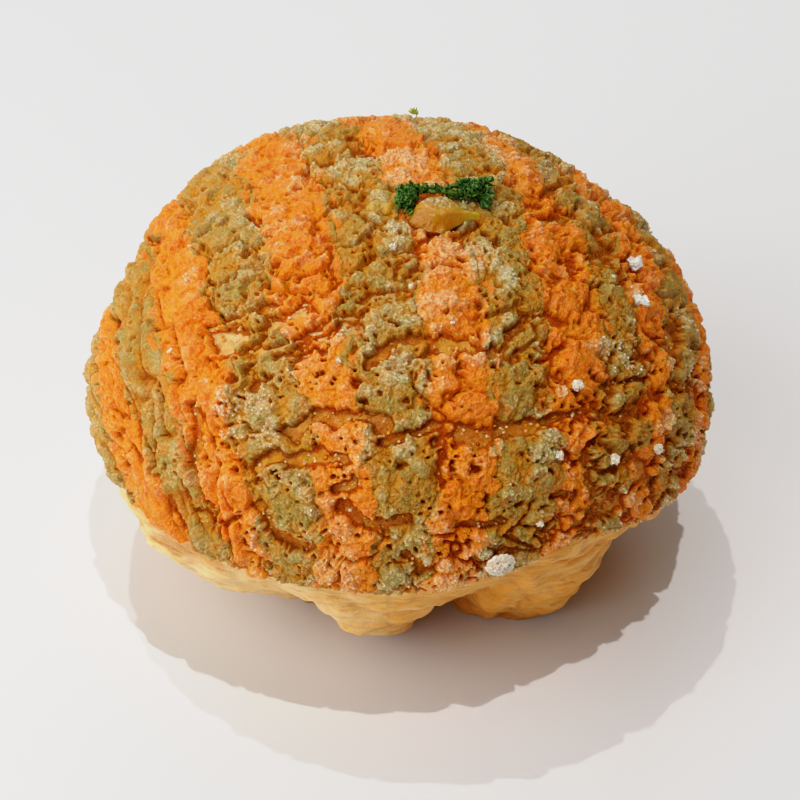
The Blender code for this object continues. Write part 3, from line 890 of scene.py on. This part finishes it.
def put_tube(name, rings, material):
    """A closed skin over rings of points, with flat ends. Rings turn anticlockwise seen from the last."""
    count, around = rings.shape[:2]
    quads = grid_quads(count, around, wrap=True)[:, ::-1]
    caps = [np.arange(around)[::-1], np.arange(around) + (count - 1) * around]
    return put_mesh(name, rings.reshape(-1, 3), quads, caps, material)


def tube_net(low, high, steps, around):
    """Places along a piece and angles round it, as two grids with a row for each ring."""
    turns = np.linspace(0.0, 2.0 * np.pi, around, endpoint=False)
    return np.meshgrid(np.linspace(low, high, steps), turns, indexing="ij")


def signed_power(value, power):
    """A power of a value's size that keeps the value's sign."""
    return np.sign(value) * np.abs(value) ** power


def peel_finish(name, body):
    """Clear amber flesh that glows, paler towards its edge, with a crust of sugar where it is marked."""
    finish = Finish(name)
    sugared = finish.value("sugared")
    colour = finish.mix(finish.value("edge"), body, PEEL_PALE)
    colour = finish.mix(finish.stretch(finish.noise(1.6, 2.0), 0.42, 0.70, 0.0, 0.5), colour, PEEL_PALE)
    colour = finish.mix(sugared, colour, PEEL_PITH)
    specks = finish.sum("MULTIPLY", sugared, finish.stretch(finish.noise(0.55, 1.0), 0.48, 0.62))
    colour = finish.mix(specks, colour, PEEL_SUGAR)
    return finish.set(
        Base_Color=colour,
        Roughness=finish.stretch(sugared, 0.0, 1.0, 0.22, 0.40),
        Normal=finish.relief(finish.noise(0.7, 3.0), 0.22),
        Subsurface_Weight=0.8,
        Subsurface_Radius=(3.5, 1.8, 0.3),
        Subsurface_Scale=MM,
    )


share, turn = tube_net(0.0, 1.0, 110, 72)
across, up = signed_power(np.cos(turn), 0.32), signed_power(np.sin(turn), 0.32)
narrowing = np.clip((share - 0.42) / 0.58, 0.0, 1.0) ** 1.3
taper = (1.0 - (2.0 * share - 1.0) ** 14) ** 0.5 * (1.0 - 0.97 * narrowing)
front = -7.4 + 1.9 * share - 3.0 * np.sin(np.pi * share) ** 0.7
back = -4.8 + 2.0 * np.sin(np.pi * share ** 0.8) - 0.8 * ease(0.5, 1.0, share)
thick = 3.3 * (1.0 - 0.35 * share) * (0.30 + 0.70 * taper)
x = 2.5 + 11.3 * share + 0.3 * np.sin(5.0 * share) + 0.9 * (1.0 - share) ** 2 * (0.7 * up + 0.8 * across)
y = 0.5 * (front + back) + 0.5 * (back - front) * across * taper
y = y + 0.62 * (1.0 + up) * (1.0 - across) * taper
rings = on_crown(x, y, -0.5 + 1.3 * ease(0.4, 1.0, share) + thick * 0.5 * (1.0 + up))
level = ease(0.5, 0.95, up)
sugared = ease(0.1, 0.9, up) * ease(-0.8, -0.1, across) * ease(0.75, 0.35, share)
edge = ease(0.45, 1.0, share) * 0.8 + 0.4 * ease(0.0, 0.9, up)
far, _, mark = grains(rings, 0.7, 71)
domes = np.maximum(1.0 - (far / 0.8) ** 2, 0.0)
rings[..., 2] += level * (0.30 * sugared * domes * mark + 0.45 * ripple(rings, 2.2, 72))
cut_face = ease(-0.2, -0.8, across)
rings[..., 1] += (0.45 * ripple(rings, 2.4, 74) + 0.16 * ripple(rings, 0.9, 75)) * cut_face * (1.0 - level)
wedge = put_tube("candied_wedge_visual", rings, peel_finish("candied_peel", PEEL))
put_values(wedge, "sugared", sugared)
put_values(wedge, "edge", edge)
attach(wedge, "root")
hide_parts("candied_wedge")

along, turn = tube_net(-1.0, 1.0, 64, 56)
across, up = signed_power(np.sin(turn), 0.6), signed_power(np.cos(turn), 0.6)
taper = (1.0 - along ** 12) ** 0.5
x = -3.0 + 2.3 * across * taper + 0.3 * along
y = -1.7 + 3.0 * along - 0.5 * across
rings = on_crown(x, y, -1.45 + 0.8 * (1.0 + up) * (0.6 + 0.4 * taper))
level = ease(0.5, 0.95, up)
sugared = ease(0.1, 0.9, up) * ease(0.1, 1.0, along - across)
edge = 0.6 * ease(-1.0, 1.0, along - across)
far, _, mark = grains(rings, 0.7, 76)
domes = np.maximum(1.0 - (far / 0.8) ** 2, 0.0)
rings[..., 2] += level * (0.22 * sugared * domes * mark + 0.35 * ripple(rings, 2.0, 77))
rings[..., 0] += 0.4 * ripple(rings, 1.8, 78) * taper * (1.0 - level)
chip = put_tube("candied_chip_visual", rings, peel_finish("pale_candied_peel", PEEL_GOLD))
put_values(chip, "sugared", sugared)
put_values(chip, "edge", edge)
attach(chip, "root")
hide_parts("candied_chip")

# ---------------------------------------------------------------------------------------------------
# The parsley. One fresh sprig of curly parsley laid across the crown: a thin pale stalk with frilled
# leaflets crowded at both ends and a few along it. Each leaflet is a thin fan with a ruffled edge.

LEAF = (0.026, 0.084, 0.010, 1.0)
# The next colour is a painted highlight for the frilled edges.
LEAF_EDGE_HIGHLIGHT = (0.18, 0.32, 0.045, 1.0)
STALK = (0.17, 0.34, 0.06, 1.0)
YOUNG_LEAF = (0.42, 0.46, 0.08, 1.0)
SPRIG_COURSE = ((0.9, -5.0), (1.0, -3.2), (1.4, -1.1), (3.2, -0.5), (6.0, -0.7), (8.8, -0.6), (11.0, -0.2),
                (12.8, 0.6), (14.2, 1.5))

# Tufts of leaflets: from and to along the stalk's course, number, shortest, longest, and how far they
# stand up. Then the single leaflets at its ends: place, the way each points, and length.
TUFTS = ((0.0, 2.1, 46, 1.1, 1.8, 0.30), (2.3, 5.6, 30, 0.7, 1.1, 0.45), (5.6, 8.0, 44, 1.0, 1.7, 0.30))
TIP_PLACES = ((13.8, 1.8), (14.0, 0.7), (13.8, -1.1), (1.6, -4.8))
TIP_WAYS = ((0.45, 0.8, 0.35), (1.0, 0.2, 0.1), (0.5, -0.8, 0.1), (0.4, -0.9, 0.0))
TIP_LENGTHS = (2.4, 1.9, 2.0, 1.8)
STALK_STEPS = 60
STALK_SIDES = 10
FAN_ROWS = 6
FAN_COLUMNS = 26
LEAF_THICKNESS = 0.10


def leaf_finish():
    """Dark waxy green, with painted highlights in patches along the frilled edges, and lighter on the stalk.
    """
    finish = Finish("parsley")
    patch = finish.stretch(finish.noise(0.8, 1.0), 0.40, 0.65)
    # Painted highlight: lighter green in patches along the frilled edges.
    lit = finish.sum("MULTIPLY", finish.stretch(finish.value("edge"), 0.70, 1.0, 0.0, 0.9), patch)
    colour = finish.mix(lit, LEAF, LEAF_EDGE_HIGHLIGHT)
    colour = finish.mix(finish.value("stalk"), colour, STALK)
    return finish.set(Base_Color=colour, Roughness=0.42, Subsurface_Weight=0.12,
                      Subsurface_Radius=(0.4, 1.0, 0.2), Subsurface_Scale=MM)


def unit(vectors):
    """Vectors scaled to length one."""
    return vectors / np.linalg.norm(vectors, axis=-1, keepdims=True)


def frills(base, out, length, chance):
    """Points of thin ruffled fans, both faces, and each point's share of the way to its edge.

    A fan opens around its own axis out. Its edge waves up and down by a sine of the fan angle that
    grows with the square of the way out, and the whole fan curls back a little.
    """
    count = len(base)
    side = unit(np.cross(out, unit(chance.normal(size=(count, 3)))))
    face = np.cross(out, side)
    ways_out, turns = np.linspace(0.06, 1.0, FAN_ROWS), np.linspace(-1.0, 1.0, FAN_COLUMNS)
    way, fan = np.meshgrid(ways_out, turns, indexing="ij")
    spread = chance.uniform(0.9, 1.5, count)[:, None, None]
    waves = chance.uniform(2.2, 3.6, count)[:, None, None]
    phase = chance.uniform(0.0, 6.3, count)[:, None, None]
    size = length[:, None, None]
    reach = size * way * (1.0 + 0.16 * way * np.sin(2.0 * np.pi * waves * fan + phase))
    ruffle = size * (0.36 * way ** 2 * np.sin(np.pi * waves * fan * 1.3 + phase) - 0.30 * way ** 2)
    turn = fan * spread
    place = (base[:, None, None] + (reach * np.cos(turn))[..., None] * out[:, None, None]
             + (reach * np.sin(turn))[..., None] * side[:, None, None]
             + ruffle[..., None] * face[:, None, None])
    normal = unit(np.cross(np.gradient(place, axis=1), np.gradient(place, axis=2)) + 1e-12)
    both = np.stack([place + 0.5 * LEAF_THICKNESS * normal, place - 0.5 * LEAF_THICKNESS * normal], axis=1)
    return both, np.broadcast_to(way, both.shape[:-1])


def fan_quads():
    """Faces of one closed fan: its upper side, its lower side turned over, and the wall round its rim."""
    rows, columns = FAN_ROWS, FAN_COLUMNS
    upper = grid_quads(rows, columns)
    lower = grid_quads(rows, columns, first=rows * columns)[:, ::-1]
    rim = np.concatenate([
        np.arange(columns - 1),
        np.arange(rows - 1) * columns + columns - 1,
        (rows - 1) * columns + np.arange(columns - 1, 0, -1),
        np.arange(rows - 1, 0, -1) * columns,
    ])
    beside = np.roll(rim, -1)
    wall = np.stack([rim, beside, beside + rows * columns, rim + rows * columns], axis=-1)
    return np.concatenate([upper, lower, wall])


leaf_chance = np.random.default_rng(21)
course = np.array(SPRIG_COURSE)
steps = np.linspace(0.0, len(course) - 1.0, STALK_STEPS)
stalk_x, stalk_y = (np.interp(steps, np.arange(len(course)), course[:, axis]) for axis in (0, 1))
stalk_line = on_crown(stalk_x, stalk_y, 1.5 + 0.3 * np.sin(steps * 1.7))
bases, outs, lengths = [], [], []
for low, high, number, shortest, longest, lift in TUFTS:
    at = leaf_chance.uniform(low, high, number)
    x, y = (np.interp(at, steps, line) for line in (stalk_x, stalk_y))
    base = on_crown(x, y, 1.3 + 0.8 * leaf_chance.random(number))
    bases.append(base + 0.3 * leaf_chance.normal(size=(number, 3)))
    outward = leaf_chance.normal(size=(number, 3))
    outward[:, 2] = np.abs(outward[:, 2]) * 0.7 + lift - 0.3
    outs.append(unit(outward))
    lengths.append(leaf_chance.uniform(shortest, longest, number))
tips = np.array(TIP_PLACES)
bases.append(on_crown(tips[:, 0], tips[:, 1], 1.4))
outs.append(unit(np.array(TIP_WAYS)))
lengths.append(np.array(TIP_LENGTHS))
fans, ways_out = frills(np.concatenate(bases), np.concatenate(outs), np.concatenate(lengths), leaf_chance)
fan_size = 2 * FAN_ROWS * FAN_COLUMNS
fan_starts = np.arange(len(fans))[:, None, None] * fan_size
leaf_quads = (fan_quads() + fan_starts).reshape(-1, 4)

along = np.gradient(stalk_line, axis=0)
right = unit(np.cross(along, np.array([0.0, 0.0, 1.0])))
above = unit(np.cross(right, along))
turn = np.linspace(0.0, 2.0 * np.pi, STALK_SIDES, endpoint=False)[:, None]
radius = (0.42 + 0.10 * np.sin(steps * 3.1))[:, None, None]
rings = stalk_line[:, None] + radius * (np.cos(turn) * right[:, None] + np.sin(turn) * above[:, None])
first = len(fans) * fan_size
stalk_size = STALK_STEPS * STALK_SIDES
ring = np.arange(STALK_SIDES) + first
stalk_quads = grid_quads(STALK_STEPS, STALK_SIDES, wrap=True, first=first)
leaf_quads = np.concatenate([leaf_quads, stalk_quads])
stalk_caps = [ring, ring[::-1] + stalk_size - STALK_SIDES]
points = np.concatenate([fans.reshape(-1, 3), rings.reshape(-1, 3)])
sprig = put_mesh("parsley_sprig_visual", points, leaf_quads, stalk_caps, leaf_finish())
put_values(sprig, "edge", np.concatenate([ways_out.ravel(), np.zeros(stalk_size)]))
put_values(sprig, "stalk", np.concatenate([np.zeros(first), np.ones(stalk_size)]))
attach(sprig, "root")
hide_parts("parsley_sprig")

fleck_base = np.array([[2.6, 38.2, 66.9], [2.9, 38.4, 66.8]])
fleck_out = unit(np.array([[-0.2, 0.1, 1.0], [0.9, 0.0, 0.6]]))
fans, _ = frills(fleck_base, fleck_out, np.array([1.1, 0.6]), leaf_chance)
starts = np.arange(2)[:, None, None] * fan_size
fleck = put_mesh("leaf_fleck_visual", fans.reshape(-1, 3), (fan_quads() + starts).reshape(-1, 4),
                 material=Finish("young_parsley").set(Base_Color=YOUNG_LEAF, Roughness=0.45))
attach(fleck, "root")

# ---------------------------------------------------------------------------------------------------
# The sugar. Coarse sugar strewn before baking: fine grains on the frosted crests, a few pearls that
# stayed whole, most of them at the right, and one heap of grains that fell together low at the front.

SUGAR = (0.83, 0.81, 0.75, 1.0)
SYRUP = (0.80, 0.58, 0.33, 1.0)
GRAIN = (0.13, 0.30)

# The pearls: place and radius. One smaller than BRIGHT_PEARL takes on some of the syrup's colour.
BRIGHT_PEARL = 1.05
PEARLS = (
    (40.5, -2.1, 63.4, 1.3), (40.9, -11.3, 62.1, 1.4), (29.3, -32.6, 61.4, 1.0), (35.4, -38.4, 50.4, 0.9),
    (43.4, -31.7, 47.0, 0.9), (26.0, -42.4, 54.8, 0.8), (-1.1, -13.2, 75.3, 0.6), (36.1, -9.3, 65.9, 0.5),
    (22.9, -48.9, 45.8, 0.7), (1.9, -21.4, 73.4, 0.4), (8.6, -27.7, 70.7, 0.5), (23.8, -5.5, 72.2, 0.6),
    (-10.0, -33.8, 67.6, 0.5), (-38.3, -22.5, 60.6, 0.5),
)
HEAP = (16.4, -52.5, 40.3)
HEAP_RADIUS = 2.3
HEAP_GRAINS = 300
BOX_QUADS = np.array([(0, 1, 3, 2), (4, 6, 7, 5), (0, 4, 5, 1), (2, 3, 7, 6), (0, 2, 6, 4), (1, 5, 7, 3)])


def boxes(middles, sizes, chance):
    """Corners and faces of small boxes at given places: of uneven sides, each turned at random."""
    count = len(middles)
    corners = (CORNERS - 0.5)[None] * (sizes[:, None] * chance.uniform(0.65, 1.2, (count, 3)))[:, None]
    corners = corners + 0.10 * sizes[:, None, None] * chance.normal(size=corners.shape)
    first = unit(chance.normal(size=(count, 3)))
    second = unit(np.cross(first, chance.normal(size=(count, 3))))
    turned = np.stack([first, second, np.cross(first, second)], axis=1)
    points = middles[:, None] + corners @ turned
    quads = BOX_QUADS[None] + 8 * np.arange(count)[:, None, None]
    return points.reshape(-1, 3), quads.reshape(-1, 4)


def sugar_finish():
    """White crystals, tinted by the crust where they sit in it."""
    finish = Finish("white_sugar")
    return finish.set(Base_Color=finish.mix(finish.value("tint"), SUGAR, SYRUP), Roughness=0.28)


grain_places = np.concatenate(sugar_spots)
middle = np.array([*MIDDLE, WAIST_HEIGHT])
grain_sizes = chance.uniform(*GRAIN, len(grain_places)) * chance.uniform(0.7, 1.1, len(grain_places))
grain_places = grain_places + unit(grain_places - middle) * 0.10 * grain_sizes[:, None]
pearl_places, pearl_sizes = [], []
for x, y, z, radius in PEARLS:
    centre = np.array([x, y, z])
    number = int(16 + 40 * radius)
    block = chance.uniform(-0.62, 0.62, (number, 3)) * np.array([1.0, 0.8, 0.9])
    pearl_places.append(centre + unit(centre - middle) * 0.05 * radius + radius * block)
    pearl_sizes.append(chance.uniform(0.35, 0.70, number) * radius ** 0.7)
heap_middle = np.array(HEAP)
outward = unit(heap_middle - middle)
side = unit(np.cross(outward, np.array([0.0, 0.0, 1.0])))
above = np.cross(side, outward)
heap_turn = chance.uniform(0.0, 6.3, HEAP_GRAINS)
heap_way = np.sqrt(chance.random(HEAP_GRAINS)) * HEAP_RADIUS
heap_rise = 0.5 + 0.9 * (1.0 - (heap_way / HEAP_RADIUS) ** 2) * chance.random(HEAP_GRAINS)
heap_places = (heap_middle + (heap_way * np.cos(heap_turn))[:, None] * side
               + (heap_way * np.sin(heap_turn) * 0.85)[:, None] * above
               + heap_rise[:, None] * outward)
places = np.concatenate([grain_places, *pearl_places, heap_places])
sizes = np.concatenate([grain_sizes, *pearl_sizes, chance.uniform(0.35, 0.6, HEAP_GRAINS)])
points, quads = boxes(places, sizes, chance)
sugar = put_mesh("sugar_visual", points, quads, material=sugar_finish(), smooth=False)
pearl_tints = [np.full(len(at), 0.40 * (pearl[3] < BRIGHT_PEARL) + 0.06)
               for at, pearl in zip(pearl_places, PEARLS)]
tints = np.concatenate([chance.uniform(0.50, 1.0, len(grain_places)) ** 0.7, *pearl_tints,
                        chance.uniform(0.10, 0.80, HEAP_GRAINS)])
put_values(sugar, "tint", np.repeat(tints, 8))
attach(sugar, "root")

# ---------------------------------------------------------------------------------------------------
# The crumbs. Specks of the biscuit crust that broke off and lie in the cracks.

crumb_places = np.concatenate(crumb_spots)
crumb_places = crumb_places + unit(crumb_places - middle) * 0.12
points, quads = boxes(crumb_places, chance.uniform(0.2, 0.5, len(crumb_places)), chance)
crumb_finish = Finish("golden_crumb")
crumb_patch = crumb_finish.stretch(crumb_finish.noise(1.5), 0.4, 0.6)
crumb_colour = crumb_finish.mix(crumb_patch, ORANGE_GOLDEN, ORANGE_FROST)
crumbs = put_mesh("crumbs_visual", points, quads, smooth=False, material=crumb_finish.set(
    Base_Color=crumb_colour, Roughness=0.45, Subsurface_Weight=0.3, Subsurface_Radius=(1.0, 0.4, 0.1),
    Subsurface_Scale=MM))
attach(crumbs, "root")

# ---------------------------------------------------------------------------------------------------
# The studio: a pale matt table, two small bright lamps high above it, one a little in front and one
# behind, a white card at the left and a fainter one at the right, a big window at the front left and one
# behind, and a dim room.

FLOOR_COLOUR = (0.775, 0.765, 0.76, 1.0)
AIM = np.array([0.08, -3.44, 33.90])
CAMERA_ELEVATION = 40.0
CAMERA_DISTANCE = 500.0
CAMERA_LENS = 126.0

floor_mesh = bpy.data.meshes.new("table")
half = 3.0
corners = [(-half, -half, 0), (half, -half, 0), (half, half, 0), (-half, half, 0)]
floor_mesh.from_pydata(corners, [], [(0, 1, 2, 3)])
floor = bpy.data.objects.new("table", floor_mesh)
bpy.context.scene.collection.objects.link(floor)
table_finish = Finish("pale_table")
floor_mesh.materials.append(table_finish.set(Base_Color=FLOOR_COLOUR, Roughness=0.7))
floor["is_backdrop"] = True


def lamp(name, kind, turn, strength, size):
    """A light that shines down its own -Z, turned about X and then Y by angles in degrees."""
    light = bpy.data.lights.new(name, kind)
    light.energy = strength
    if kind == "SUN":
        light.angle = np.radians(size)
    thing = bpy.data.objects.new(name, light)
    thing.rotation_euler = (np.radians(turn[0]), np.radians(turn[1]), 0.0)
    bpy.context.scene.collection.objects.link(thing)
    return thing


lamp("front_lamp", "SUN", (11.0, 4.0), 1.06, 0.8)
lamp("back_lamp", "SUN", (-12.6, -9.0), 0.58, 0.8)


def panel(name, place, width, height, power):
    """A soft light with an even square glow, at a place in metres and turned to face the bun."""
    light = bpy.data.lights.new(name, "AREA")
    light.shape = "RECTANGLE"
    light.size, light.size_y, light.energy = width, height, power
    thing = bpy.data.objects.new(name, light)
    thing.location = place
    aim = Vector((0.0, 0.0, 0.03)) - Vector(place)
    thing.rotation_euler = aim.to_track_quat("-Z", "Y").to_euler()
    thing.visible_camera = False
    bpy.context.scene.collection.objects.link(thing)


panel("left_card", (-0.26, -0.05, 0.12), 0.30, 0.24, 0.35)
panel("right_card", (0.28, -0.18, 0.14), 0.30, 0.24, 0.035)
panel("big_window", (-0.70, -0.70, 0.80), 1.2, 1.2, 9.2)
panel("back_window", (-0.20, 0.80, 0.70), 1.0, 0.8, 4.0)

world = bpy.data.worlds.new("studio")
world.use_nodes = True
world.node_tree.nodes["Background"].inputs["Color"].default_value = (0.97, 0.98, 1.0, 1.0)
world.node_tree.nodes["Background"].inputs["Strength"].default_value = 0.032
bpy.context.scene.world = world

camera = bpy.data.objects.new("camera", bpy.data.cameras.new("camera"))
tilt = np.radians(CAMERA_ELEVATION)
camera.location = (AIM + CAMERA_DISTANCE * np.array([0.0, -np.cos(tilt), np.sin(tilt)])) * MM
camera.rotation_euler = (np.radians(90.0 - CAMERA_ELEVATION), 0.0, 0.0)
camera.data.lens = CAMERA_LENS
camera.data.sensor_width = 36.0
camera.data.clip_start, camera.data.clip_end = 0.01, 20.0
bpy.context.scene.collection.objects.link(camera)
bpy.context.scene.camera = camera

# The film's response: scene light on the left, shown brightness on the right.
FILM_WHITE = 2.0
FILM = ((0.0, 0.0), (0.012, 0.004), (0.035, 0.02), (0.08, 0.06), (0.19, 0.184), (0.49, 0.5), (0.645, 0.645),
        (0.778, 0.752), (1.09, 0.855), (1.4, 0.92), (2.0, 1.0))
film = bpy.context.scene.view_settings
film.view_transform = "Standard"
film.use_curve_mapping = True
film.curve_mapping.white_level = (FILM_WHITE,) * 3
response = film.curve_mapping.curves[3]
response.points[-1].location = (1.0, FILM[-1][1])
for light, shown in FILM[1:-1]:
    response.points.new(light / FILM_WHITE, shown)
film.curve_mapping.update()

boxes = {"cad": cad_box, "visual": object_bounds()}
